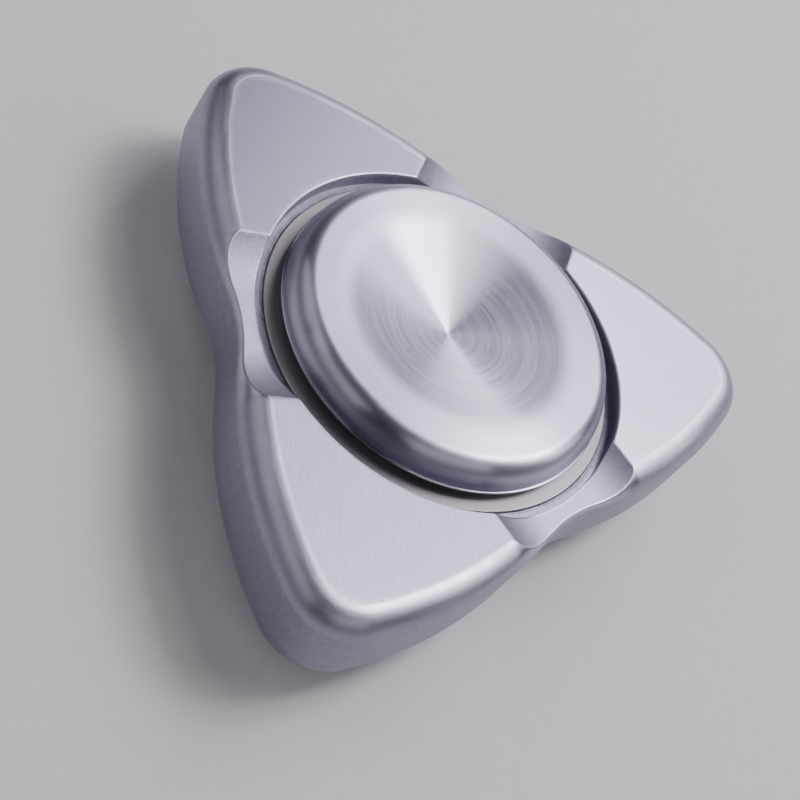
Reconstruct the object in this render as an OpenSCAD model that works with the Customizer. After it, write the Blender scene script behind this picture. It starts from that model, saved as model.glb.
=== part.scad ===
// Three-lobed steel fidget spinner with a full-size thumb button on each face.
// Millimetres. The origin is the centre of the bearing: +Z is the spin axis and
// one lobe points along +X. The spinner is the same on both faces, so a piece
// for the lower face is the upper one mirrored in the plane z = 0.

/* [Body] */
// Distance from the spin axis to a lobe tip
tip_reach = 25.8; // [25:0.1:27]
// Radius of the rounded lobe tip, seen from above
tip_round = 4.6; // [4:0.1:5]
// Radius of the bulging flanks between tip and waist
flank_round = 33.5; // [32:0.5:36]
// Distance from the spin axis to the middle of a waist
waist_reach = 15.3; // [15.1:0.1:16]
// Radius of the hollow curve at a waist
waist_round = 12.5; // [11:0.5:15]
// Thickness of the body
body_h = 7.2; // [7:0.1:8]
// Radius of the rounded edge all round both faces
edge_round = 1.8; // [1:0.1:2]
// Radius of the round pocket in each face
pocket_r = 14; // [13.9:0.05:14.3]
// Depth of the pocket floor below the face
pocket_depth = 1.15; // [1.1:0.05:1.3]
// Depth of the finger scoop at each waist
scoop_depth = 1.1; // [0.9:0.05:1.3]
// Half the width of a scoop where it meets the face
scoop_half_w = 6.6; // [5.5:0.1:7]
// Half the width of a scoop's flat floor, from which it curves up to the face
scoop_flat = 2.2; // [1:0.1:3]

/* [Thumb buttons] */
// Largest radius of a button
button_r = 12.5; // [12:0.1:12.7]
// Height of the button's rim above the body's face
button_rise = 2.1; // [1.8:0.1:2.4]
// Radius of the crest where the rim starts to round over
crest_r = 10.85; // [10.5:0.05:11.2]
// Radius of the dished middle of the face
dish_r = 9.5; // [9.3:0.1:10.2]
// Radius at which the dish is steepest
steep_r = 8.2; // [6:0.1:8.8]
// Slope of the dish at that radius in degrees
steep_slope = 14.5; // [12:0.1:15.5]
// Slope of the dish at its middle in degrees
middle_slope = 11; // [8:0.5:11.5]
// Radius of the threaded stud that clamps the two buttons together
stud_r = 2; // [1.5:0.1:2.2]
// Length of the stud
stud_len = 6; // [5:0.5:6]

/* [Retaining rings] */
// Outer radius of a ring
ring_r = 13.42; // [13.2:0.02:13.6]
// Depth of the ring's face below the body's face
ring_below = 1; // [0.9:0.05:1.1]
// Thickness of the ring where it seats in the body
ring_h = 1.2; // [1.1:0.1:1.3]

/* [Bearing] */
// Bore diameter of the bearing
bore_d = 6.35; // [6.35]
// Outer diameter of the bearing
outer_d = 12.7; // [12.7]
// Width of the bearing
bearing_w = 4.762; // [4.762]
// Ball diameter
ball_d = 1.588; // [1.588]
// Number of balls
ball_count = 10; // [10]

/* [Hidden] */

$fn = 96;
scoop_fn = 180;                 // facets asked of the large, shallow scoop cylinders
ball_fn = 48;                   // facets asked of the balls and the grooves they run in
lobes = 3;
waist_a = 180 / lobes;          // angle of a waist from the lobe beside it
eps = 0.01;
fit_gap = 0.02;                 // radial clearance of parts that slide together
face_z = body_h / 2;            // height of the body's face
ring_z = face_z - ring_below;   // height of a retaining ring's face
seat_z = ring_z - ring_h;       // height of the seat that a ring stands on
pocket_z = face_z - pocket_depth;
scoop_r = (pow(scoop_half_w - scoop_flat, 2) + pow(scoop_depth, 2)) / (2 * scoop_depth);
scoop_start = 10;               // the scoops run from inside the pocket...
scoop_end = 20;                 // ...to outside the waist

tip_steps = 6;                  // chords along half a lobe tip
flank_steps = 7;                // chords along a flank
waist_steps = 4;                // chords along half a waist
edge_steps = 5;                 // chords round the edge, face to wall

bore_r = bore_d / 2;
outer_r = outer_d / 2;
bearing_z = bearing_w / 2;      // height of the bearing's face
ball_r = ball_d / 2;
pitch_r = (bore_r + outer_r) / 2;
race_gap = 0.026;               // the ball grooves are this much rounder than a ball
race_r = ball_r + race_gap;
land_gap = 0.55;                // from the pitch circle to each ring's land
outer_land_r = pitch_r + land_gap;
inner_land_r = pitch_r - land_gap;

shield_seat_z = 1.5;            // step that a shield rests on
shield_seat_r = 5.6;
shield_h = 0.18;
shield_gap = 0.14;              // from the inner ring's land to a shield
shield_bore_r = inner_land_r + shield_gap;
clip_z = 1.72;                  // lower face of the snap clip
clip_h = 0.24;
clip_groove_depth = 0.15;
clip_groove_r = shield_seat_r + clip_groove_depth;
clip_w = 0.38;
clip_gap_w = 1.6;

cage_half_w = 0.34;             // radial half width of the cage
cage_low_z = -0.55;
cage_high_z = 1.25;
cage_pocket_gap = 0.036;
cage_pocket_r = ball_r + cage_pocket_gap;

lip_bore_r = 5.7;               // a retaining ring's lip over the bearing
lip_r = 8;
lip_rise = 0.2;                 // the lip stands this far above the ring's face
lip_z = ring_z + lip_rise;
ring_chamfer = 0.12;
lip_chamfer = 0.2;

rim_z = face_z + button_rise;   // height of a button's rim
edge_h = 0.25;                  // height of the button's straight edge
under_round = 0.35;             // height of the rounding below that edge
under_gap = 0.45;               // from a ring's face to the button's underside
under_z = ring_z + under_gap;
edge_low_z = under_z + under_round;
widest_z = edge_low_z + edge_h;
under_r = 11.7;
under_steps = 5;
shoulder_r = 4.05;              // shoulder that sits on the inner ring
spigot_r = bore_r - fit_gap;
spigot_z = 0.1;
thread_end_gap = 0.2;           // from the stud's end to the bottom of its threaded hole
thread_z = stud_len / 2 + thread_end_gap;
stud_chamfer = 0.4;
socket_across_corners = 2.3;
socket_depth = 1.8;
bowl_r = steep_r / (sin(steep_slope) - sin(middle_slope));   // section radius of the dish's bowl
blend_r = (dish_r - steep_r) / sin(steep_slope);   // rounds the bowl into the flat band
blend_depth = blend_r * (1 - cos(steep_slope));
dish_depth = blend_depth + bowl_r * (cos(middle_slope) - cos(steep_slope));
bowl_steps = 6;
blend_steps = 8;
ledge = 0.12;                   // width of the ledge round the button's straight edge
ledge_rise = 0.1;               // from the rounding below the edge up to the ledge
ledge_z = edge_low_z + ledge_rise;
shoulder_steps = 10;

// ---- plan outline of the body -------------------------------------------

function polar(r, a) = [r * cos(a), r * sin(a)];
function angle_of(v) = atan2(v[1], v[0]);

// the crossing of two circles that lies to the left of the line p to q
function crossing(p, rp, q, rq) =
    let (d = norm(q - p), u = (q - p) / d,
         along = (rp * rp - rq * rq + d * d) / (2 * d),
         off = sqrt(rp * rp - along * along))
    p + along * u + off * [-u[1], u[0]];

tip_c = [tip_reach - tip_round, 0];
waist_c = polar(waist_reach + waist_round, waist_a);
flank_c = crossing(tip_c, flank_round - tip_round,
                   waist_c, flank_round + waist_round);
tip_end_a = angle_of(tip_c - flank_c);
flank_end_a = angle_of(waist_c - flank_c);

function arc(c, r, a0, a1, steps) =
    [for (i = [0 : steps - 1]) c + polar(r, a0 + (a1 - a0) * i / steps)];

// half a lobe, from its tip to the middle of the waist, moved in by e
function half_lobe(e) = concat(
    arc(tip_c, tip_round - e, 0, tip_end_a, tip_steps),
    arc(flank_c, flank_round - e, tip_end_a, flank_end_a, flank_steps),
    arc(waist_c, waist_round + e, flank_end_a + 180, waist_a + 180, waist_steps),
    [polar(waist_reach - e, waist_a)]);

function turned(p, a) = [p[0] * cos(a) - p[1] * sin(a), p[0] * sin(a) + p[1] * cos(a)];

function outline(e) =
    let (half = half_lobe(e), n = len(half))
    [for (k = [0 : lobes - 1], i = [2 - n : n - 1])
        turned([half[abs(i)][0], sign(i) * half[abs(i)][1]], k * 360 / lobes)];

// [inset, height] of each ring of points, from the lower face to the upper
function edge_ring(t) = [edge_round * (1 - cos(t)), face_z - edge_round * (1 - sin(t))];
rings = concat(
    [for (i = [edge_steps : -1 : 0]) let (r = edge_ring(90 * i / edge_steps)) [r[0], -r[1]]],
    [for (i = [0 : edge_steps]) edge_ring(90 * i / edge_steps)]);

module rounded_slab() {
    n = len(outline(0));
    points = [for (r = rings, p = outline(r[0])) [p[0], p[1], r[1]]];
    top = (len(rings) - 1) * n;
    walls = [for (k = [0 : len(rings) - 2], i = [0 : n - 1], half = [0, 1])
        let (a = k * n + i, b = k * n + (i + 1) % n)
        half == 0 ? [a, a + n, b] : [b, a + n, b + n]];
    polyhedron(points, concat([[for (i = [0 : n - 1]) i]],
                              [[for (i = [n - 1 : -1 : 0]) top + i]], walls));
}

// ---- body ----------------------------------------------------------------

module scoop() {
    length = scoop_end - scoop_start;
    translate([scoop_start, 0, face_z - scoop_depth]) {
        for (side = [-1, 1])
            translate([0, side * scoop_flat, scoop_r]) rotate([0, 90, 0])
                cylinder(r = scoop_r, h = length, $fn = scoop_fn);
        translate([0, -scoop_flat, 0]) cube([length, 2 * scoop_flat, scoop_r]);
    }
}

module one_face_cuts() {
    translate([0, 0, pocket_z]) cylinder(r = pocket_r, h = body_h);
    translate([0, 0, seat_z]) cylinder(r = ring_r, h = body_h);
    for (k = [0 : lobes - 1]) rotate([0, 0, waist_a + k * 360 / lobes]) scoop();
}

module body() {
    color("#b9b7c4") difference() {
        rounded_slab();
        one_face_cuts();
        mirror([0, 0, 1]) one_face_cuts();
        translate([0, 0, -body_h]) cylinder(r = outer_r, h = 2 * body_h);
    }
}

module retaining_ring() {
    color("#d3d0d8") rotate_extrude() polygon([
        [outer_r, seat_z], [ring_r, seat_z],
        [ring_r, ring_z - ring_chamfer], [ring_r - ring_chamfer, ring_z],
        [lip_r + lip_chamfer, ring_z], [lip_r, lip_z], [lip_bore_r, lip_z],
        [lip_bore_r, bearing_z], [outer_r, bearing_z]]);
}

// ---- thumb buttons -------------------------------------------------------

// bowl, blend, flat band, rounded rim, ledge and undercut edge, then the spigot in the bearing
function button_profile() = concat(
    [for (i = [0 : bowl_steps - 1])
        let (a = middle_slope + (steep_slope - middle_slope) * i / bowl_steps)
        [bowl_r * (sin(a) - sin(middle_slope)),
         rim_z - dish_depth + bowl_r * (cos(middle_slope) - cos(a))]],
    [for (i = [0 : blend_steps])
        let (a = steep_slope * (1 - i / blend_steps))
        [dish_r - blend_r * sin(a), rim_z - blend_r * (1 - cos(a))]],
    [for (i = [0 : shoulder_steps])
        let (t = 90 * i / shoulder_steps)
        [crest_r + (button_r - ledge - crest_r) * sin(t), widest_z + (rim_z - widest_z) * cos(t)]],
    [[button_r - ledge, ledge_z], [button_r, ledge_z - ledge / 2]],
    [for (i = [0 : under_steps])
        let (t = 90 * i / under_steps)
        [under_r + (button_r - under_r) * cos(t), edge_low_z - (edge_low_z - under_z) * sin(t)]],
    [[shoulder_r, under_z], [shoulder_r, bearing_z], [spigot_r, bearing_z],
     [spigot_r, spigot_z], [stud_r + fit_gap, spigot_z],
     [stud_r + fit_gap, thread_z], [0, thread_z]]);

module button() {
    color("#c4c2cf") rotate_extrude() polygon(button_profile());
}

module clamp_stud() {
    color("#77777d") difference() {
        rotate_extrude() polygon([
            [0, -stud_len / 2], [stud_r - stud_chamfer, -stud_len / 2],
            [stud_r, stud_chamfer - stud_len / 2], [stud_r, stud_len / 2 - stud_chamfer],
            [stud_r - stud_chamfer, stud_len / 2], [0, stud_len / 2]]);
        translate([0, 0, stud_len / 2 - socket_depth])
            cylinder(d = socket_across_corners, h = socket_depth + eps, $fn = 6);
    }
}

// ---- bearing -------------------------------------------------------------

module ball_groove() {
    rotate_extrude() translate([pitch_r, 0]) circle(r = race_r, $fn = ball_fn);
}

module tube(r_in, r_out, z0, z1) {
    rotate_extrude() polygon([[r_in, z0], [r_out, z0], [r_out, z1], [r_in, z1]]);
}

module bearing_outer_ring() {
    color("#a3a5aa") difference() {
        tube(outer_land_r, outer_r, -bearing_z, bearing_z);
        ball_groove();
        for (side = [0, 1]) mirror([0, 0, side]) {
            translate([0, 0, shield_seat_z]) cylinder(r = shield_seat_r, h = bearing_z);
            tube(shield_seat_r - eps, clip_groove_r, clip_z - fit_gap,
                 clip_z + clip_h + fit_gap);
        }
    }
}

module bearing_inner_ring() {
    color("#a3a5aa") difference() {
        tube(bore_r, inner_land_r, -bearing_z, bearing_z);
        ball_groove();
    }
}

module at_ball(i) {
    rotate([0, 0, (i - 1) * 360 / ball_count]) translate([pitch_r, 0, 0]) children();
}

module ball_cage() {
    color("#c9a24a") difference() {
        tube(pitch_r - cage_half_w, pitch_r + cage_half_w, cage_low_z, cage_high_z);
        for (i = [1 : ball_count]) at_ball(i) sphere(r = cage_pocket_r, $fn = ball_fn);
    }
}

module ball(i) {
    color("#e4e6ea") at_ball(i) sphere(r = ball_r, $fn = ball_fn);
}

module shield() {
    color("#8f9196")
        tube(shield_bore_r, shield_seat_r - fit_gap, shield_seat_z, shield_seat_z + shield_h);
}

module shield_clip() {
    color("#5f6166") difference() {
        tube(clip_groove_r - clip_w, clip_groove_r - fit_gap, clip_z, clip_z + clip_h);
        translate([clip_groove_r - clip_w / 2, 0, clip_z + clip_h / 2])
            cube([2 * clip_w, clip_gap_w, 2 * clip_h], center = true);
    }
}

// ---- assembly ------------------------------------------------------------

body();
retaining_ring();  // retaining_ring_top
mirror([0, 0, 1]) retaining_ring();  // retaining_ring_bottom
button();  // button_top
mirror([0, 0, 1]) button();  // button_bottom
clamp_stud();
bearing_outer_ring();
bearing_inner_ring();
ball_cage();
for (i = [1 : ball_count])
    ball(i);
shield();  // shield_top
mirror([0, 0, 1]) shield();  // shield_bottom
shield_clip();  // shield_clip_top
mirror([0, 0, 1]) shield_clip();  // shield_clip_bottom
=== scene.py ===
"""Looks for the three-lobed steel fidget spinner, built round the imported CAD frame.

Every mesh is made in millimetres and scaled to metres when its object is created.
The spin axis is Z, one lobe points along +X, and z = 0 is the middle of the body.
"""
import math

import bpy
import numpy as np
from mathutils import Matrix, Vector

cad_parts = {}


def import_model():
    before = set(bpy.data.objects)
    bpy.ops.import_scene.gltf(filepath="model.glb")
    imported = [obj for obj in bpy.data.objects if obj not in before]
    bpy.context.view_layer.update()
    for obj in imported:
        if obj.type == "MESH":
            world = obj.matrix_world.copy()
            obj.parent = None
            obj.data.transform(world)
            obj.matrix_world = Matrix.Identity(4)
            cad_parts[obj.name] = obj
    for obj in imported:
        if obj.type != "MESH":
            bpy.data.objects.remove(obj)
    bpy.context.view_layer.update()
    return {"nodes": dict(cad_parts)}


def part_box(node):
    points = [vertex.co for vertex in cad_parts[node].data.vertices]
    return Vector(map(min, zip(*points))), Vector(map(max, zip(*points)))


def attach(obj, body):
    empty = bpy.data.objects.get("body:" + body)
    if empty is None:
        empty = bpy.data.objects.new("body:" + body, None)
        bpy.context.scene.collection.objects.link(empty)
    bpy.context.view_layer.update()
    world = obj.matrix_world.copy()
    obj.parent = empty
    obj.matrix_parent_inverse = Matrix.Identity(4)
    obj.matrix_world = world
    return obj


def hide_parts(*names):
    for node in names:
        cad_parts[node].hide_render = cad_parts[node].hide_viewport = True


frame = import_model()

MM = 0.001


def box_mm(node):
    """Lowest and highest corner of a CAD node in millimetres."""
    low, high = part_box(node)
    return np.array(low) / MM, np.array(high) / MM


# ---- sizes, from the frame where it has them --------------------------------------

BODY_TOP = box_mm("body")[1]
BUTTON_TOP = box_mm("button_top")[1]
RING_TOP = box_mm("retaining_ring_top")[1]
RACE_TOP = box_mm("bearing_outer_ring")[1]

FACE_Z = BODY_TOP[2]
TIP_REACH = BODY_TOP[0]
BUTTON_R = BUTTON_TOP[0]
RIM_Z = BUTTON_TOP[2]
RING_R = RING_TOP[0]
LIP_Z = RING_TOP[2]
OUTER_R = RACE_TOP[0]
BEARING_Z = RACE_TOP[2]
FLOOR_Z = -RIM_Z

TIP_ROUND = 4.6
FLANK_ROUND = 33.5
WAIST_REACH = 15.3
WAIST_ROUND = 12.5
EDGE_ROUND = 1.8
# the wall is made this far inside the frame's, so that rounding never puts it outside
SKIN = 0.002
POCKET_R = 14.0
POCKET_DEPTH = 1.15
POCKET_Z = FACE_Z - POCKET_DEPTH
RING_BELOW = 1.0
RING_H = 1.2
RING_Z = FACE_Z - RING_BELOW
SEAT_Z = RING_Z - RING_H
FIT_GAP = 0.02

SCOOP_DEPTH = 1.1
SCOOP_HALF_W = 6.6
SCOOP_FLAT = 2.2
# how gently a scoop's end meets the face
SCOOP_SOFT = 0.02
SCOOP_R = ((SCOOP_HALF_W - SCOOP_FLAT) ** 2 + SCOOP_DEPTH ** 2) / (2 * SCOOP_DEPTH)

LOBES = 3
FULL_TURN = 2 * math.pi
WAIST_A = math.radians(60)
BRUSH_TURN = math.radians(15)


# ---- small mesh helpers ------------------------------------------------------------

SHARP_ANGLE = math.radians(32)
# an outward bend of this many radians in a millimetre is fully brightened, partly as wear and partly as
# a painted highlight
WEAR_HIGHLIGHT_BEND = 3.0
SHORTEST_REACH = 0.02
LATHE_SEGMENTS = 256
BUTTON_SEGMENTS = 320
CORNER_STEPS = 5


def make_object(name, verts, faces, wear_highlight, painted_shade=None, corner_uv=None):
    """A smooth-shaded object from points in millimetres.

    The two per-vertex values, 0 to 1, say how much each vertex is brightened, partly as wear and partly
    as a painted highlight, and how much it is darkened by painted shade.
    corner_uv is an optional UV per face corner.
    """
    mesh = bpy.data.meshes.new(name)
    mesh.from_pydata((np.asarray(verts) * MM).tolist(), [], faces)
    mesh.polygons.foreach_set("use_smooth", [True] * len(mesh.polygons))
    mesh.set_sharp_from_angle(angle=SHARP_ANGLE)
    painted_shade = np.zeros(len(verts)) if painted_shade is None else painted_shade
    for label, values in (("wear_highlight", wear_highlight), ("painted_shade", painted_shade)):
        layer = mesh.attributes.new(label, "FLOAT", "POINT")
        layer.data.foreach_set("value", np.asarray(values, np.float32).ravel())
    if corner_uv is not None:
        layer = mesh.uv_layers.new(name="brush")
        layer.data.foreach_set("uv", np.asarray(corner_uv, np.float32).ravel())
    mesh.update()
    piece = bpy.data.objects.new(name, mesh)
    bpy.context.scene.collection.objects.link(piece)
    return piece


def grid_faces(rows, cols, close_rows=False):
    """Quads of a grid of points that closes round its columns, and if asked its rows."""
    quads = []
    for r in range(rows if close_rows else rows - 1):
        below, above = r * cols, ((r + 1) % rows) * cols
        for c in range(cols):
            d = (c + 1) % cols
            quads.append((below + c, below + d, above + d, above + c))
    return quads


def corner_wear_highlight(profile):
    """How sharply each point of a profile is bent outward, 0 to 1."""
    before = profile - np.roll(profile, 1, axis=0)
    after = np.roll(profile, -1, axis=0) - profile
    before_len = np.linalg.norm(before, axis=1)
    after_len = np.linalg.norm(after, axis=1)
    turn = before[:, 0] * after[:, 1] - before[:, 1] * after[:, 0]
    angle = np.arcsin(np.clip(turn / (before_len * after_len), -1, 1))
    return np.clip(angle / np.maximum(before_len + after_len, SHORTEST_REACH) / WEAR_HIGHLIGHT_BEND, 0, 1)


def turned_points(profile, segments):
    """The points of an (r, z) profile at each step round Z, one row per profile point."""
    turn = np.linspace(0, FULL_TURN, segments, endpoint=False)
    verts = np.empty((len(profile), segments, 3))
    verts[:, :, 0] = profile[:, :1] * np.cos(turn)
    verts[:, :, 1] = profile[:, :1] * np.sin(turn)
    verts[:, :, 2] = profile[:, 1:]
    return verts.reshape(-1, 3)


def lathe(name, profile):
    """A closed profile of (r, z) points, counter-clockwise, turned round Z."""
    profile = np.asarray(profile, float)
    verts = turned_points(profile, LATHE_SEGMENTS)
    wear_highlight = np.repeat(corner_wear_highlight(profile), LATHE_SEGMENTS)
    faces = grid_faces(len(profile), LATHE_SEGMENTS, close_rows=True)
    return make_object(name, verts, faces, wear_highlight)


def bend(a, corner, b, steps):
    """A quadratic curve from a to b that rounds the corner between them."""
    t = np.linspace(0, 1, steps + 1)[:, None]
    return (1 - t) ** 2 * np.asarray(a) + 2 * t * (1 - t) * np.asarray(corner) + t ** 2 * np.asarray(b)


def rounded_path(points, radii):
    """A polyline whose corners are rounded by the given set-backs; a set-back of 0 stays sharp."""
    points = [np.asarray(p, float) for p in points]
    path = []
    for i, (p, r) in enumerate(zip(points, radii)):
        if r == 0:
            path.append(p)
            continue
        before, after = points[i - 1], points[(i + 1) % len(points)]
        a = p + (before - p) / np.linalg.norm(before - p) * r
        b = p + (after - p) / np.linalg.norm(after - p) * r
        path.extend(bend(a, p, b, CORNER_STEPS))
    return path


# ---- plan outline of the body ------------------------------------------------------

def crossing(p, rp, q, rq):
    """The crossing of two circles that lies to the left of the line from p to q."""
    d = np.linalg.norm(q - p)
    u = (q - p) / d
    along = (rp * rp - rq * rq + d * d) / (2 * d)
    off = math.sqrt(rp * rp - along * along)
    return p + along * u + off * np.array([-u[1], u[0]])


def polar(r, a):
    """The plan point, or points, at a radius and an angle."""
    return np.array([r * np.cos(a), r * np.sin(a)]).T


TIP_C = np.array([TIP_REACH - TIP_ROUND, 0.0])
WAIST_C = polar(WAIST_REACH + WAIST_ROUND, WAIST_A)
FLANK_C = crossing(TIP_C, FLANK_ROUND - TIP_ROUND, WAIST_C, FLANK_ROUND + WAIST_ROUND)
TIP_END_A = math.atan2(*(TIP_C - FLANK_C)[::-1])
FLANK_END_A = math.atan2(*(WAIST_C - FLANK_C)[::-1])


def lateral(points):
    """Distance of points from the waist's centre line, in the half lobe from 0 to 60 degrees."""
    return math.sin(WAIST_A) * points[..., 0] - math.cos(WAIST_A) * points[..., 1]


# the scoop's arc is followed no further out, and no higher above the face, than this
SCOOP_ARC_REACH = 0.98 * SCOOP_R
SCOOP_ARC_TOP = -2.0


def scoop_drop(side):
    """How far the scoop lies below the face at a distance from the waist's centre line."""
    climb = np.clip(np.abs(side) - SCOOP_FLAT, 0, SCOOP_ARC_REACH)
    depth = SCOOP_DEPTH - (SCOOP_R - np.sqrt(SCOOP_R ** 2 - climb ** 2))
    depth = np.maximum(depth, SCOOP_ARC_TOP)
    return 0.5 * (depth + np.sqrt(depth ** 2 + 4 * SCOOP_SOFT ** 2)) - SCOOP_SOFT ** 2 / 2


# ---- body mesh ---------------------------------------------------------------------

# kinds of surface, by the way their marks run
WALL, FACE, TURNED = 0, 1, 2
# stations along half a lobe, and rows of points from the wall's middle in to the pocket
WAIST_COLS, FLANK_COLS, TIP_COLS = 44, 58, 26
WALL_ROWS, FILLET_ROWS, BEVEL_ROWS, TOP_ROWS, LIP_ROWS = 3, 16, 6, 26, 6

# stations crowd toward the scoop's ends, where its curve is steepest
STATION_CROWDING = 1.35
WALL_STEP = 0.6
# a small bevel breaks the crest; its last quads are brushed like the face
CREST_BEVEL = 0.10
BEVEL_FACE_QUADS = 2
CREST_HALVINGS = 40
# the pocket's lip is rounded by this much, or by a share of the room where a scoop crosses it
LIP_SOFT = 0.16
LIP_SHARE = 0.6
LEAST_ROOM = 0.02
POCKET_WALL_STEPS = (0.3, 0.65, 1.0)
SEAT_SOFT = 0.03
SEAT_SHELF = 1.0

# the rows at which the crest, the pocket's lip and the pocket's wall begin
CREST_ROW = WALL_ROWS + FILLET_ROWS - 1
LIP_ROW = CREST_ROW + BEVEL_ROWS + TOP_ROWS
POCKET_ROW = LIP_ROW + LIP_ROWS
PART_SHADED_POCKET_ROWS = 2

# how much each place is brightened, partly as wear and partly as a painted highlight, and how much it
# is darkened by painted shade, 0 to 1
FILLET_WEAR_HIGHLIGHT, CREST_WEAR_HIGHLIGHT, LIP_WEAR_HIGHLIGHT = 0.5, 0.8, 0.4
WALL_SHADE, SCOOP_END_SHADE, POCKET_SHADE = 0.50, 0.70, 0.62
SCOOP_LEAST = 0.08


class Stations:
    """Places along half a lobe, from the middle of a waist to the tip.

    Each has a centre, a radius, a direction and the way its radius changes as it moves in,
    with the angle of the point on the pocket's edge that its section line runs to.
    """

    def __init__(self):
        side = SCOOP_HALF_W * (1 - (1 - np.linspace(0, 1, WAIST_COLS)) ** STATION_CROWDING)
        inset_waist = WAIST_ROUND + EDGE_ROUND
        inset_flank = FLANK_ROUND - EDGE_ROUND
        turn_side = abs(inset_waist * math.sin(WAIST_A - FLANK_END_A))
        flank_side = lateral(FLANK_C)
        rows = []
        for s in side:
            inner = WAIST_A - math.asin(s / POCKET_R)
            if s < turn_side:
                a = WAIST_A + math.pi + math.asin(s / inset_waist)
                rows.append((*WAIST_C, WAIST_ROUND, 1.0, a, inner))
            else:
                a = WAIST_A - math.asin((s - flank_side) / inset_flank)
                rows.append((*FLANK_C, FLANK_ROUND, -1.0, a, inner))
        start_a, start_inner = rows[-1][4], rows[-1][5]
        flank_len = inset_flank * (start_a - TIP_END_A)
        tip_len = (TIP_ROUND - EDGE_ROUND) * TIP_END_A
        for t in np.linspace(0, 1, FLANK_COLS + 1)[1:]:
            a = start_a + (TIP_END_A - start_a) * t
            done = flank_len * t / (flank_len + tip_len)
            rows.append((*FLANK_C, FLANK_ROUND, -1.0, a, start_inner * (1 - done)))
        for t in np.linspace(0, 1, TIP_COLS + 1)[1:]:
            a = TIP_END_A * (1 - t)
            done = (flank_len + tip_len * t) / (flank_len + tip_len)
            rows.append((*TIP_C, TIP_ROUND, -1.0, a, start_inner * (1 - done)))
        table = np.array(rows)
        self.centre = table[:, :2]
        self.radius, self.grows, self.a, self.inner = table[:, 2:].T

    def at(self, e):
        """The outline's points moved in by e, which is one number or one per station."""
        return self.centre + polar(self.radius + self.grows * e, self.a)


def fillet(t):
    """Inset and drop below the face of the rounded edge, t from 0 at the wall to 1 at the face."""
    a = t * math.pi / 2
    return SKIN + EDGE_ROUND * (1 - np.cos(a)), EDGE_ROUND * (1 - np.sin(a))


def crest_place(stations):
    """Where along the rounded edge, 0 to 1, the scoop or the face cuts it at each station."""
    low = np.zeros(len(stations.a))
    high = np.ones(len(stations.a))
    for _ in range(CREST_HALVINGS):
        mid = (low + high) / 2
        inset, drop = fillet(mid)
        under = drop > scoop_drop(lateral(stations.at(inset)))
        low, high = np.where(under, mid, low), np.where(under, high, mid)
    return (low + high) / 2


def raised(points, z):
    """Plan points given a height, which is one number or one per point."""
    return np.column_stack([points, np.broadcast_to(np.asarray(z, float), (len(points),))])


def bend_row(a, corner, b, t):
    """The row of points at t along curves from a to b that round the corners between them."""
    return (1 - t) ** 2 * a + 2 * t * (1 - t) * corner + t * t * b


def wall_rows(stations, crest):
    """The wall from the body's middle up and over its rounded edge to short of the crest."""
    rows = [raised(stations.at(SKIN), k * WALL_STEP) for k in range(WALL_ROWS)]
    for k in range(FILLET_ROWS - 1):
        inset, drop = fillet(crest * k / FILLET_ROWS)
        rows.append(raised(stations.at(inset), FACE_Z - drop))
    return rows


def top_rows(stations, crest, inner_edge):
    """The crest's small bevel, then the face and the scoop in to the pocket's lip."""
    crest_in, crest_drop = fillet(crest)
    before_in, before_drop = fillet(np.maximum(crest - CREST_BEVEL / EDGE_ROUND / (math.pi / 2), 0))
    outer_edge = stations.at(crest_in)
    span = np.linalg.norm(outer_edge - inner_edge, axis=1)
    toward = outer_edge + (inner_edge - outer_edge) * (CREST_BEVEL / span)[:, None]
    start = raised(stations.at(before_in), FACE_Z - before_drop)
    corner = raised(outer_edge, FACE_Z - crest_drop)
    end = raised(toward, FACE_Z - scoop_drop(lateral(toward)))
    rows = [bend_row(start, corner, end, t) for t in np.linspace(0, 1, BEVEL_ROWS)]
    for k in range(1, TOP_ROWS + 1):
        p = toward + (inner_edge - toward) * k / TOP_ROWS
        rows.append(raised(p, FACE_Z - scoop_drop(lateral(p))))
    return rows


def pocket_rows(stations, lip_row):
    """The pocket's softened lip and wall, then the ring's seat and the bearing's bore."""
    lip = lip_row[:, 2]
    wall = polar(POCKET_R, stations.inner)
    room = np.maximum(lip - POCKET_Z, LEAST_ROOM)
    soft = np.minimum(LIP_SOFT, LIP_SHARE * room)
    corner = raised(wall, lip)
    end = raised(wall, lip - soft)
    rows = [bend_row(lip_row, corner, end, t) for t in np.linspace(0, 1, LIP_ROWS)[1:]]
    for t in POCKET_WALL_STEPS:
        rows.append(raised(wall, (lip - soft) * (1 - t) + POCKET_Z * t))
    seat_r = RING_R + FIT_GAP
    bore_r = OUTER_R + FIT_GAP
    for r, z in ((seat_r + SEAT_SOFT, POCKET_Z), (seat_r, POCKET_Z - SEAT_SOFT), (seat_r, SEAT_Z),
                 (OUTER_R + SEAT_SHELF, SEAT_Z), (bore_r, SEAT_Z), (bore_r, 0.0)):
        rows.append(raised(polar(r, stations.inner), z))
    return rows


def half_lobe_section():
    """Rows of points, wall to bore, over the upper half of the body in one half lobe."""
    stations = Stations()
    crest = crest_place(stations)
    inner_edge = polar(POCKET_R + LIP_SOFT, stations.inner)
    rows = wall_rows(stations, crest) + top_rows(stations, crest, inner_edge)
    face_end = len(rows) - 1
    wall_end = face_end - TOP_ROWS - BEVEL_FACE_QUADS
    rows += pocket_rows(stations, rows[-1])
    kinds = np.full(len(rows) - 1, TURNED)
    kinds[:face_end] = FACE
    kinds[:wall_end] = WALL
    return np.array(rows), kinds, stations


def turned(points, a):
    """Points turned round Z by a."""
    c, s = math.cos(a), math.sin(a)
    out = points.copy()
    out[..., 0] = c * points[..., 0] - s * points[..., 1]
    out[..., 1] = s * points[..., 0] + c * points[..., 1]
    return out


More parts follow.
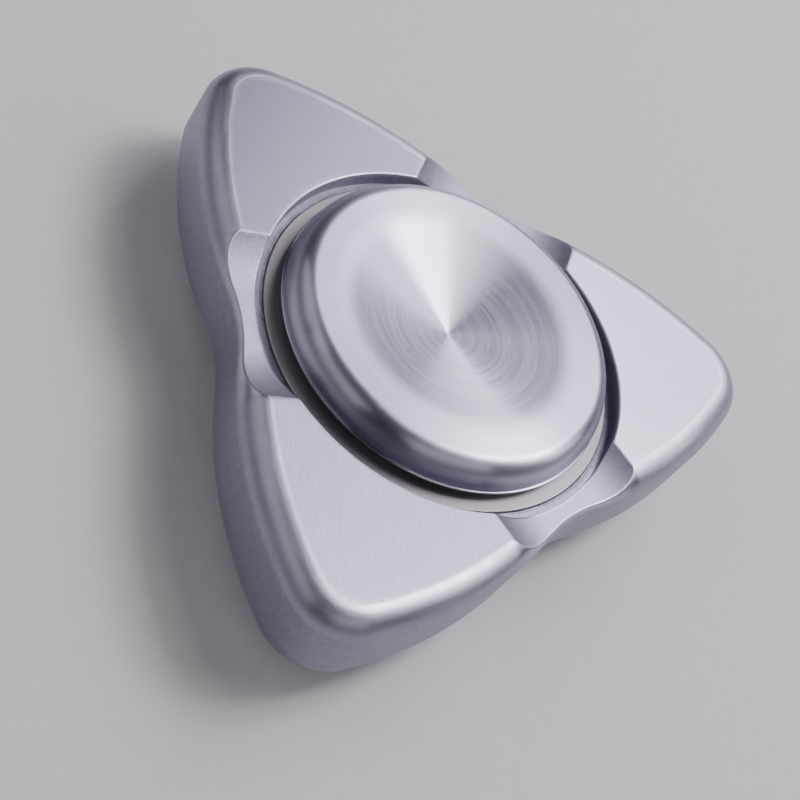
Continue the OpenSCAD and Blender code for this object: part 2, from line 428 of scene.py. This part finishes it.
def plan_uv(points, a):
    """Coordinates along and across a direction in plan."""
    c, s = np.cos(a), np.sin(a)
    x, y = points[..., 0], points[..., 1]
    return np.stack([c * x + s * y, c * y - s * x], -1)


def both_halves(rows):
    """Values for every row of the whole section, from those of its upper half."""
    return np.concatenate([rows, rows[-2:0:-1]])


def whole_body(upper):
    """The body's grid of points, from the upper half of the section in one half lobe."""
    half = np.concatenate([upper, upper[-2:0:-1] * [1, 1, -1]])
    mirror = half[:, ::-1] * [1, -1, 1]
    lobe = np.concatenate([half[:, :-1], mirror[:, :-1]], axis=1)[:, ::-1]
    return np.concatenate([turned(lobe, k * FULL_TURN / LOBES) for k in range(LOBES)], axis=1)


def brush_ways(cols, last):
    """Which way the brush marks run on the face, and across the scoops, in each column of quads."""
    station = np.concatenate([np.arange(1, last + 1), np.arange(last - 1, -1, -1)])
    station = np.tile(station, LOBES)
    in_scoop = np.maximum(station, np.roll(station, -1)) < WAIST_COLS
    column = np.arange(cols)
    lobe_way = column // (2 * last) * FULL_TURN / LOBES
    side = np.where(column % (2 * last) < last, -1, 1)
    return lobe_way + np.where(in_scoop, side * WAIST_A, BRUSH_TURN)


def path_length(points):
    """The distance run along a row of points, at each of them."""
    steps = np.linalg.norm(np.diff(points, axis=0), axis=1)
    return np.concatenate([[0], np.cumsum(steps)])


def brush_map(body, upper, quad_kind, way):
    """The UV of each quad's corners: millimetres along the brush marks, then across them.

    The marks run along the outline on walls, straight on faces and round the pocket.
    """
    rows, cols = body.shape[:2]
    ring = np.concatenate([body, body[:1]])
    ring = np.concatenate([ring, ring[:, :1]], axis=1)
    along = path_length(ring[0])
    climb = path_length(upper[:, 0])
    climb = np.concatenate([climb, climb[-2::-1]])
    sweep = np.unwrap(np.arctan2(ring[rows // 2, :, 1], ring[rows // 2, :, 0])) * POCKET_R
    depth = np.linalg.norm(ring[:, 0, :2], axis=1) + ring[:, 0, 2]
    uv = np.empty((rows, cols, 4, 2))
    for corner, (up, over) in enumerate(((0, 0), (0, 1), (1, 1), (1, 0))):
        for r in range(rows):
            if quad_kind[r] == WALL:
                below = -1 if r >= rows // 2 else 1
                uv[r, :, corner, 0] = along[over:over + cols]
                uv[r, :, corner, 1] = below * climb[r + up]
            elif quad_kind[r] == FACE:
                uv[r, :, corner] = plan_uv(ring[r + up, over:over + cols], way)
            else:
                uv[r, :, corner, 0] = sweep[over:over + cols]
                uv[r, :, corner, 1] = depth[r + up]
    return uv


def wear_highlight_rows(count):
    """How much each row is brightened, partly as wear and partly as a painted highlight: most on the
    crest of the edge, less on the pocket's lip.
    """
    wear_highlight = np.zeros(count)
    wear_highlight[WALL_ROWS:CREST_ROW] = np.linspace(0, FILLET_WEAR_HIGHLIGHT, FILLET_ROWS - 1)
    wear_highlight[CREST_ROW:CREST_ROW + BEVEL_ROWS] = CREST_WEAR_HIGHLIGHT
    wear_highlight[LIP_ROW:POCKET_ROW - 1] = LIP_WEAR_HIGHLIGHT
    return both_halves(wear_highlight)


def shade_points(upper):
    """How much painted shade each point gets: down the walls, in the pocket and up the ends of the
    scoops.
    """
    row_shade = np.zeros(len(upper))
    # painted shade down the walls, deepening into the pocket, and on the scoops' steep ends
    row_shade[:WALL_ROWS] = WALL_SHADE
    row_shade[WALL_ROWS:CREST_ROW] = np.linspace(WALL_SHADE, 0, FILLET_ROWS - 1)
    row_shade[LIP_ROW + 1:POCKET_ROW] = np.linspace(0, POCKET_SHADE, LIP_ROWS - 1)
    row_shade[POCKET_ROW:POCKET_ROW + PART_SHADED_POCKET_ROWS] = POCKET_SHADE
    row_shade[POCKET_ROW + PART_SHADED_POCKET_ROWS:] = 1
    side = np.abs(lateral(upper))
    climb = (side - SCOOP_FLAT) / (SCOOP_HALF_W - SCOOP_FLAT)
    steep = np.clip(climb, SCOOP_LEAST, 1) * (scoop_drop(side) > 2 * SCOOP_SOFT)
    on_top = np.zeros(len(upper))
    on_top[CREST_ROW + BEVEL_ROWS:LIP_ROW + 1] = SCOOP_END_SHADE
    shade = both_halves(np.maximum(row_shade[:, None], steep * on_top[:, None]))
    lobe = np.concatenate([shade[:, :-1], shade[:, :0:-1]], axis=1)[:, ::-1]
    return np.tile(lobe, LOBES)


def body_mesh():
    """The body: one section swept through half a lobe, mirrored both ways and set round Z."""
    upper, kinds, stations = half_lobe_section()
    body = whole_body(upper)
    rows, cols = body.shape[:2]
    way = brush_ways(cols, len(stations.a) - 1)
    uv = brush_map(body, upper, np.concatenate([kinds, kinds[::-1]]), way)
    wear_highlight = np.repeat(wear_highlight_rows(len(upper)), cols)
    faces = grid_faces(rows, cols, close_rows=True)
    return make_object("spinner_body", body.reshape(-1, 3), faces, wear_highlight, shade_points(upper), uv)


# ---- turned pieces -----------------------------------------------------------------

CREST_R = 10.85
# polished a little softer than the frame's dish, by 0.04 mm at most
DISH_R = 9.6
STEEP_R = 7.8
STEEP_SLOPE = math.radians(14.5)
MIDDLE_SLOPE = math.radians(11.0)
BOWL_R = STEEP_R / (math.sin(STEEP_SLOPE) - math.sin(MIDDLE_SLOPE))
BLEND_R = (DISH_R - STEEP_R) / math.sin(STEEP_SLOPE)
BLEND_DEPTH = BLEND_R * (1 - math.cos(STEEP_SLOPE))
DISH_DEPTH = BLEND_DEPTH + BOWL_R * (math.cos(MIDDLE_SLOPE) - math.cos(STEEP_SLOPE))
UNDER_GAP = 0.45
UNDER_ROUND = 0.35
EDGE_H = 0.25
UNDER_Z = RING_Z + UNDER_GAP
EDGE_LOW_Z = UNDER_Z + UNDER_ROUND
WIDEST_Z = EDGE_LOW_Z + EDGE_H
LEDGE = 0.12
LEDGE_RISE = 0.1
LEDGE_Z = EDGE_LOW_Z + LEDGE_RISE
UNDER_R = 11.7
SHOULDER_R = 4.05
BORE_R = 3.175
SPIGOT_R = BORE_R - FIT_GAP
SPIGOT_Z = box_mm("button_top")[0][2]
STUD_TOP = box_mm("clamp_stud")[1]
THREAD_R = STUD_TOP[0] + FIT_GAP
THREAD_END_GAP = 0.2
THREAD_Z = STUD_TOP[2] + THREAD_END_GAP
BOWL_STEPS, BLEND_STEPS, BAND_STEPS, RIM_STEPS, LEDGE_STEPS, UNDER_STEPS = 27, 25, 5, 27, 6, 11

LIP_R = 8.0
LIP_SLOPE = 0.1
LIP_BORE_R = 5.7
RING_EDGE_SOFT = 0.12
LIP_EDGE_SOFT = 0.1
LIP_BORE_SOFT = 0.08


def button_profile():
    """(r, z) of the upper thumb button, from the middle of its dish round to its threaded hole."""
    profile = []
    for a in np.linspace(MIDDLE_SLOPE, STEEP_SLOPE, BOWL_STEPS + 1)[1:-1]:
        profile.append((BOWL_R * (math.sin(a) - math.sin(MIDDLE_SLOPE)),
                        RIM_Z - DISH_DEPTH + BOWL_R * (math.cos(MIDDLE_SLOPE) - math.cos(a))))
    for a in np.linspace(STEEP_SLOPE, 0.0, BLEND_STEPS + 1):
        profile.append((DISH_R - BLEND_R * math.sin(a),
                        RIM_Z - BLEND_R * (1 - math.cos(a))))
    for r in np.linspace(DISH_R, CREST_R, BAND_STEPS + 1)[1:-1]:
        profile.append((r, RIM_Z))
    shoulder_r = BUTTON_R - LEDGE
    for t in np.linspace(0, math.pi / 2, RIM_STEPS + 1):
        profile.append((CREST_R + (shoulder_r - CREST_R) * math.sin(t),
                        WIDEST_Z + (RIM_Z - WIDEST_Z) * math.cos(t)))
    profile.append((shoulder_r, LEDGE_Z + LEDGE / 3))
    ledge_end = (BUTTON_R, LEDGE_Z - LEDGE / 2)
    profile.extend(bend((shoulder_r, LEDGE_Z), (BUTTON_R, LEDGE_Z), ledge_end, LEDGE_STEPS))
    for t in np.linspace(0, math.pi / 2, UNDER_STEPS + 1):
        profile.append((UNDER_R + (BUTTON_R - UNDER_R) * math.cos(t),
                        EDGE_LOW_Z - (EDGE_LOW_Z - UNDER_Z) * math.sin(t)))
    profile += [(SHOULDER_R, UNDER_Z), (SHOULDER_R, BEARING_Z), (SPIGOT_R, BEARING_Z),
                (SPIGOT_R, SPIGOT_Z), (THREAD_R, SPIGOT_Z), (THREAD_R, THREAD_Z)]
    return np.array(profile)


def capped_lathe(name, profile, start_z, end_z):
    """A clockwise profile turned round Z, closed at each end by a point on the axis."""
    segments = BUTTON_SEGMENTS
    verts = turned_points(profile, segments)
    first, last = len(verts), len(verts) + 1
    verts = np.vstack([verts, [0, 0, start_z], [0, 0, end_z]])
    faces = [f[::-1] for f in grid_faces(len(profile), segments)]
    wear_highlight = np.append(np.repeat(corner_wear_highlight(profile[::-1])[::-1], segments), [0, 0])
    end = (len(profile) - 1) * segments
    for c in range(segments):
        d = (c + 1) % segments
        faces.append((first, c, d))
        faces.append((last, end + d, end + c))
    return make_object(name, verts, faces, wear_highlight)


def mirrored_down(piece, name):
    """A copy of a piece for the lower face: the same piece turned over."""
    mesh = piece.data.copy()
    co = np.empty(len(mesh.vertices) * 3)
    mesh.vertices.foreach_get("co", co)
    co = co.reshape(-1, 3) * [1, -1, -1]
    mesh.vertices.foreach_set("co", co.ravel())
    mesh.update()
    copy = bpy.data.objects.new(name, mesh)
    mesh.name = name
    bpy.context.scene.collection.objects.link(copy)
    return copy


def ring_profile():
    """(r, z) of the upper retaining ring, counter-clockwise in section."""
    corners = [((OUTER_R, SEAT_Z), 0),
               ((RING_R, SEAT_Z), 0),
               ((RING_R, RING_Z), RING_EDGE_SOFT),
               ((LIP_R + LIP_SLOPE, RING_Z), LIP_EDGE_SOFT),
               ((LIP_R, LIP_Z), LIP_EDGE_SOFT),
               ((LIP_BORE_R, LIP_Z), LIP_BORE_SOFT),
               ((LIP_BORE_R, BEARING_Z), 0),
               ((OUTER_R, BEARING_Z), 0)]
    points, softness = zip(*corners)
    return rounded_path(points, softness)


# ---- materials ---------------------------------------------------------------------

def new_material(name):
    """An empty metal material: its node tree's output and one principled shader."""
    material = bpy.data.materials.new(name)
    material.use_nodes = True
    nodes = material.node_tree.nodes
    nodes.clear()
    out = nodes.new("ShaderNodeOutputMaterial")
    shader = nodes.new("ShaderNodeBsdfPrincipled")
    material.node_tree.links.new(shader.outputs[0], out.inputs[0])
    shader.inputs["Metallic"].default_value = 1.0
    return material, shader


def brighter(colour, times):
    """A colour made lighter, each channel stopping at 1."""
    return tuple(min(1.0, times * c) for c in colour)


# sockets of a Mix node that mixes colours
MIX_LOW, MIX_HIGH, MIX_RESULT = 6, 7, 2


class Nodes:
    """Short calls for building a node tree."""

    def __init__(self, material):
        self.tree = material.node_tree

    def add(self, kind, **settings):
        node = self.tree.nodes.new("ShaderNode" + kind)
        for key, value in settings.items():
            setattr(node, key, value)
        return node

    def link(self, a, b):
        self.tree.links.new(a, b)

    def math(self, op, a, b=None):
        node = self.add("Math", operation=op)
        for socket, value in zip(node.inputs, (a, b)):
            if value is None:
                continue
            if isinstance(value, (int, float)):
                socket.default_value = value
            else:
                self.link(value, socket)
        return node.outputs[0]

    def noise(self, vector, scale, detail, rough):
        node = self.add("TexNoise")
        node.inputs["Scale"].default_value = scale
        node.inputs["Detail"].default_value = detail
        node.inputs["Roughness"].default_value = rough
        self.link(vector, node.inputs["Vector"])
        return node.outputs["Fac"]

    def streaks(self, vector, along, across):
        """Noise drawn out along a map's first direction, in features per unit each way."""
        node = self.add("Mapping")
        node.inputs["Scale"].default_value = (along, across, 1.0)
        self.link(vector, node.inputs["Vector"])
        return self.noise(node.outputs[0], scale=1.0, detail=3.0, rough=0.8)

    def join(self, x, y, z):
        node = self.add("CombineXYZ")
        for socket, value in zip(node.inputs, (x, y, z)):
            self.link(value, socket)
        return node.outputs[0]

    def rings(self, radius, x, y, across, around):
        """Coordinates whose noise makes rings: features per metre across them and round them."""
        return self.join(self.math("MULTIPLY", radius, across),
                         self.math("MULTIPLY", x, around),
                         self.math("MULTIPLY", y, around))

    def remap(self, value, low, high, to_low, to_high):
        node = self.add("MapRange")
        self.link(value, node.inputs["Value"])
        for key, number in (("From Min", low), ("From Max", high),
                            ("To Min", to_low), ("To Max", to_high)):
            node.inputs[key].default_value = number
        return node.outputs["Result"]

    def tint(self, value, dark, light):
        node = self.add("ValToRGB")
        for element, colour, position in zip(node.color_ramp.elements, (dark, light), (0.25, 0.75)):
            element.color = (*colour, 1)
            element.position = position
        self.link(value, node.inputs[0])
        return node.outputs["Color"]

    def turn(self, vector, degrees):
        node = self.add("Mapping")
        node.inputs["Rotation"].default_value = (0, 0, math.radians(degrees))
        self.link(vector, node.inputs["Vector"])
        return node.outputs[0]

    def blend(self, *parts):
        """The weighted sum of several values."""
        total = None
        for value, weight in parts:
            share = self.math("MULTIPLY", value, weight)
            total = share if total is None else self.math("ADD", total, share)
        return total

    def mix(self, factor, low, high):
        node = self.add("Mix", data_type="RGBA")
        self.link(factor, node.inputs[0])
        self.link(low, node.inputs[MIX_LOW])
        node.inputs[MIX_HIGH].default_value = (*high, 1)
        return node.outputs[MIX_RESULT]

    def edge_wear_highlight(self, place):
        """Where an edge is painted brighter, partly as handling wear and partly as a painted highlight,
        broken up by noise.
        """
        bright_edge = self.add("Attribute", attribute_name="wear_highlight").outputs["Fac"]
        patch = self.noise(place, scale=420.0, detail=3.0, rough=0.6)
        return self.math("MULTIPLY", bright_edge, self.remap(patch, 0.35, 0.65, 0.35, 1.0))

    def shade_mask(self, place, marks):
        """Where a surface is darkened with painted shade, mottled by a fine grain and by its brush
        marks.
        """
        left = self.add("Attribute", attribute_name="painted_shade").outputs["Fac"]
        grain = self.noise(place, scale=2600.0, detail=4.0, rough=0.7)
        patch = self.remap(self.blend((grain, 0.35), (marks, 0.65)), 0.40, 0.60, 0.0, 1.0)
        return self.math("MULTIPLY", left, self.remap(patch, 0.0, 1.0, 0.55, 1.0))

    def sharp_edges(self, reach):
        """High within a short reach of an edge, from how far a bevel would turn the surface."""
        rounded = self.add("Bevel", samples=6)
        rounded.inputs["Radius"].default_value = reach
        compare = self.add("VectorMath", operation="DOT_PRODUCT")
        self.link(rounded.outputs[0], compare.inputs[0])
        self.link(self.add("NewGeometry").outputs["Normal"], compare.inputs[1])
        return self.remap(compare.outputs["Value"], 1.0, 0.85, 0.0, 1.0)

    def bump(self, height, strength, distance):
        node = self.add("Bump")
        node.inputs["Strength"].default_value = strength
        node.inputs["Distance"].default_value = distance
        self.link(height, node.inputs["Height"])
        return node.outputs["Normal"]


BODY_DARK, BODY_LIGHT = (0.40, 0.375, 0.495), (0.60, 0.57, 0.715)
# the third colour brightens edges, partly as wear and partly as a warm painted highlight; the fourth is
# a near-black painted shade
BODY_WEAR_HIGHLIGHT, BODY_PAINTED_SHADE = (0.735, 0.69, 0.80), (0.085, 0.08, 0.10)
STRAY_TURN = 94.0
# turns the stretched highlight so that it lies across the marks
ACROSS_MARKS = 0.25


def brushed_steel():
    """Satin steel for the body: fine straight marks that follow the piece's brush map."""
    material, shader = new_material("satin_brushed_steel")
    n = Nodes(material)
    uv = n.add("UVMap", uv_map="brush").outputs["UV"]
    place = n.add("TexCoord").outputs["Object"]
    long_marks = n.streaks(uv, along=0.07, across=2.6)
    fine_marks = n.streaks(uv, along=0.25, across=8.5)
    stray = n.streaks(n.turn(uv, STRAY_TURN), along=0.15, across=6.0)
    clouds = n.noise(place, scale=170.0, detail=3.0, rough=0.6)
    grain = n.noise(place, scale=5200.0, detail=2.0, rough=0.7)
    marks = n.blend((long_marks, 0.34), (fine_marks, 0.42), (stray, 0.14), (grain, 0.10))
    # edges are brightened, partly as wear and partly as a painted highlight
    wear_highlight = n.edge_wear_highlight(place)
    # the walls, the pocket and the scoops' ends are darkened with painted shade
    shade_mask = n.shade_mask(place, marks)
    base = n.tint(n.blend((marks, 0.90), (clouds, 0.10)), BODY_DARK, BODY_LIGHT)
    base = n.mix(wear_highlight, base, BODY_WEAR_HIGHLIGHT)
    n.link(n.mix(shade_mask, base, BODY_PAINTED_SHADE), shader.inputs["Base Color"])
    cloudy = n.remap(clouds, 0.3, 0.7, -0.012, 0.012)
    brushed = n.remap(marks, 0.35, 0.65, 0.33, 0.46)
    rough = n.blend((brushed, 1.0), (cloudy, 1.0), (wear_highlight, -0.08), (shade_mask, 0.06))
    n.link(rough, shader.inputs["Roughness"])
    n.link(n.bump(marks, strength=0.6, distance=0.05 * MM), shader.inputs["Normal"])
    shader.inputs["Anisotropic"].default_value = 0.6
    shader.inputs["Anisotropic Rotation"].default_value = ACROSS_MARKS
    tangent = n.add("Tangent", direction_type="UV_MAP", uv_map="brush")
    n.link(tangent.outputs[0], shader.inputs["Tangent"])
    return material


TURNED_MARK_DEPTH = 0.012 * MM


def turned_steel(name, dark, light, roughness, anisotropy, calm_from, calm_to):
    """Lathe-turned steel: rings about the spin axis that come and go round the piece.

    The marks fade between the two radii, in millimetres.
    """
    material, shader = new_material(name)
    n = Nodes(material)
    place = n.add("TexCoord").outputs["Object"]
    split = n.add("SeparateXYZ")
    n.link(place, split.inputs[0])
    x, y = split.outputs[:2]
    radius = n.math("SQRT", n.math("ADD", n.math("MULTIPLY", x, x), n.math("MULTIPLY", y, y)))
    fine = n.rings(radius, x, y, across=5200.0, around=150.0)
    wide = n.rings(radius, x, y, across=2100.0, around=90.0)
    rings = n.noise(fine, scale=1.0, detail=3.0, rough=0.8)
    bands = n.noise(wide, scale=1.0, detail=2.0, rough=0.5)
    marks = n.blend((rings, 0.6), (bands, 0.4))
    calm = n.remap(radius, calm_from * MM, calm_to * MM, 1.0, 0.15)
    marks = n.math("ADD", n.math("MULTIPLY", n.math("SUBTRACT", marks, 0.5), calm), 0.5)
    # bent edges are brightened, partly as wear and partly as a painted highlight
    wear_highlight = n.edge_wear_highlight(place)
    bright_edge = brighter(light, 1.12)
    n.link(n.mix(wear_highlight, n.tint(marks, dark, light), bright_edge), shader.inputs["Base Color"])
    rough = n.blend((n.remap(marks, 0.35, 0.65, *roughness), 1.0), (wear_highlight, -0.05))
    n.link(rough, shader.inputs["Roughness"])
    n.link(n.bump(marks, strength=0.5, distance=TURNED_MARK_DEPTH), shader.inputs["Normal"])
    shader.inputs["Anisotropic"].default_value = anisotropy
    shader.inputs["Anisotropic Rotation"].default_value = ACROSS_MARKS
    tangent = n.add("Tangent", direction_type="RADIAL", axis="Z")
    n.link(tangent.outputs[0], shader.inputs["Tangent"])
    return material


EDGE_WEAR_REACH = 0.06 * MM


def plain_steel(name, dark, light, roughness):
    """Machined steel or brass for the small pieces inside: faint cloudy wear."""
    material, shader = new_material(name)
    n = Nodes(material)
    place = n.add("TexCoord").outputs["Object"]
    cloud = n.noise(place, scale=900.0, detail=4.0, rough=0.6)
    wear_highlight = n.math("MULTIPLY", n.sharp_edges(EDGE_WEAR_REACH), cloud)
    bright_edge = brighter(light, 1.25)
    n.link(n.mix(wear_highlight, n.tint(cloud, dark, light), bright_edge), shader.inputs["Base Color"])
    n.link(n.remap(cloud, 0.3, 0.7, *roughness), shader.inputs["Roughness"])
    n.link(n.bump(cloud, strength=0.2, distance=0.01 * MM), shader.inputs["Normal"])
    return material


def paint(piece, material):
    """Give a piece one material in place of any it has."""
    piece.data.materials.clear()
    piece.data.materials.append(material)


# ---- pieces ------------------------------------------------------------------------

# the button's rings start to fade this far inside the steepest part of its dish
BUTTON_CALM = 2.3

STEEL = brushed_steel()
BUTTON_STEEL = turned_steel("turned_button_steel", (0.42, 0.40, 0.51), (0.61, 0.58, 0.715),
                            roughness=(0.22, 0.31), anisotropy=0.93,
                            calm_from=STEEP_R - BUTTON_CALM, calm_to=CREST_R)
# the retainer's base colours are set darker as painted shade for the shadow the button casts over it
RING_STEEL = turned_steel("turned_ring_steel", (0.30, 0.28, 0.295), (0.49, 0.46, 0.485),
                          roughness=(0.48, 0.60), anisotropy=0.3, calm_from=RING_R, calm_to=RING_R + 1)

body = body_mesh()
paint(body, STEEL)
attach(body, "rotor")
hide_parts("body")

button = capped_lathe("thumb_button_top", button_profile(), RIM_Z - DISH_DEPTH, THREAD_Z)
lower_button = mirrored_down(button, "thumb_button_bottom")
for piece, node in ((button, "button_top"), (lower_button, "button_bottom")):
    paint(piece, BUTTON_STEEL)
    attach(piece, "hub")
    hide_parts(node)

ring = lathe("retainer_top", ring_profile())
lower_ring = mirrored_down(ring, "retainer_bottom")
for piece, node in ((ring, "retaining_ring_top"), (lower_ring, "retaining_ring_bottom")):
    paint(piece, RING_STEEL)
    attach(piece, "rotor")
    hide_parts(node)

INNER_LOOKS = {
    "clamp_stud": plain_steel("dark_oxide_steel", (0.16, 0.16, 0.17), (0.26, 0.26, 0.27), (0.4, 0.55)),
    "bearing": plain_steel("ground_race_steel", (0.62, 0.62, 0.64), (0.74, 0.74, 0.76), (0.1, 0.2)),
    "ball_cage": plain_steel("stamped_brass", (0.70, 0.50, 0.22), (0.83, 0.64, 0.33), (0.25, 0.4)),
    "ball_": plain_steel("polished_ball_steel", (0.74, 0.75, 0.77), (0.80, 0.81, 0.83), (0.04, 0.09)),
    "shield_clip": plain_steel("spring_steel", (0.28, 0.28, 0.30), (0.40, 0.40, 0.42), (0.3, 0.45)),
    "shield_": plain_steel("pressed_shield_steel", (0.50, 0.50, 0.52), (0.62, 0.62, 0.64), (0.25, 0.4)),
}
for node, piece in frame["nodes"].items():
    for start, look in INNER_LOOKS.items():
        if node.startswith(start):
            paint(piece, look)
            break


# ---- studio ------------------------------------------------------------------------

def camera_axes(elevation, azimuth, roll):
    """Right, up and back directions of a camera that looks at the origin, rolled about its axis."""
    el, az, ro = (math.radians(v) for v in (elevation, azimuth, roll))
    back = Vector((math.cos(el) * math.cos(az), math.cos(el) * math.sin(az), math.sin(el)))
    right = Vector((0, 0, 1)).cross(back).normalized()
    up = back.cross(right)
    return (right * math.cos(ro) + up * math.sin(ro),
            up * math.cos(ro) - right * math.sin(ro), back)


CAMERA = {"elevation": 46.7, "azimuth": -13.5, "roll": 40.6}
CAMERA_AIM = Vector((0.96, 0.21, -FACE_Z)) * MM
CAMERA_AWAY = 129.4 * MM
CAMERA_LENS = 80.8
SENSOR_WIDTH = 36.0
CLIP_START = 5 * MM

right, up, back = camera_axes(**CAMERA)
camera_data = bpy.data.cameras.new("camera")
camera_data.lens = CAMERA_LENS
camera_data.sensor_width = SENSOR_WIDTH
camera_data.clip_start = CLIP_START
camera = bpy.data.objects.new("camera", camera_data)
stance = Matrix((right, up, back)).transposed().to_4x4()
stance.translation = CAMERA_AIM + back * CAMERA_AWAY
camera.matrix_world = stance
bpy.context.scene.collection.objects.link(camera)
bpy.context.scene.camera = camera


FLOOR_HALF = 2.0
FLOOR_ROUGH = 0.65
FLOOR_DARK, FLOOR_LIGHT = (0.88, 0.88, 0.89), (0.92, 0.92, 0.93)


def floor():
    """A plain pale floor under the lower button."""
    z = FLOOR_Z * MM
    signs = ((-1, -1), (1, -1), (1, 1), (-1, 1))
    mesh = bpy.data.meshes.new("floor")
    mesh.from_pydata([(x * FLOOR_HALF, y * FLOOR_HALF, z) for x, y in signs], [], [(0, 1, 2, 3)])
    piece = bpy.data.objects.new("floor", mesh)
    bpy.context.scene.collection.objects.link(piece)
    material, shader = new_material("pale_floor")
    shader.inputs["Metallic"].default_value = 0.0
    n = Nodes(material)
    grain = n.noise(n.add("TexCoord").outputs["Object"], scale=700.0, detail=4.0, rough=0.6)
    n.link(n.tint(grain, FLOOR_DARK, FLOOR_LIGHT), shader.inputs["Base Color"])
    shader.inputs["Roughness"].default_value = FLOOR_ROUGH
    mesh.materials.append(material)


def softbox(name, azimuth, elevation, distance, size, power, tint=(1, 1, 1)):
    """An area light facing the spinner, in metres and watts.

    Its azimuth is counted in degrees from the camera's, so a flat face mirrors one at 180.
    """
    data = bpy.data.lights.new(name, "AREA")
    data.shape = "RECTANGLE"
    data.size, data.size_y = size
    data.energy = power
    data.color = tint
    lamp = bpy.data.objects.new(name, data)
    turn = math.radians(CAMERA["azimuth"] + azimuth)
    lift = math.radians(elevation)
    way = Vector((math.cos(lift) * math.cos(turn), math.cos(lift) * math.sin(turn), math.sin(lift)))
    lamp.location = way * distance
    lamp.rotation_euler = way.to_track_quat("Z", "Y").to_euler()
    bpy.context.scene.collection.objects.link(lamp)


def world(colour, strength):
    """A faint even light from everywhere else."""
    backdrop = bpy.data.worlds.new("studio")
    backdrop.use_nodes = True
    node = backdrop.node_tree.nodes["Background"]
    node.inputs[0].default_value = (*colour, 1)
    node.inputs[1].default_value = strength
    bpy.context.scene.world = backdrop


NEAR, FAR = 0.5, 0.6

floor()
world((0.80, 0.82, 0.92), 0.05)
# the flat faces mirror the key, and the bright sector of the dish mirrors the hot box;
# the two back boxes stand on the camera's side, and light what is seen from the far side
softbox("key", 173, 44, NEAR, (0.25, 0.20), 0.63, (0.95, 0.915, 1.0))
softbox("hot", 146, 54, NEAR, (0.15, 0.16), 0.98, (0.99, 0.95, 0.97))
softbox("low", 189, 26, NEAR, (0.11, 0.08), 0.10, (1.0, 0.98, 1.0))
softbox("high", 146, 69, NEAR, (0.20, 0.14), 0.28)
softbox("left", 126, 36, NEAR, (0.18, 0.26), 0.26, (0.94, 0.94, 1.0))
softbox("back_left", 52, 38, FAR, (0.50, 0.36), 0.30)
softbox("back_right", 322, 38, FAR, (0.50, 0.36), 0.30)
softbox("fill", 270, 40, NEAR, (0.36, 0.34), 0.24, (0.96, 0.94, 1.0))
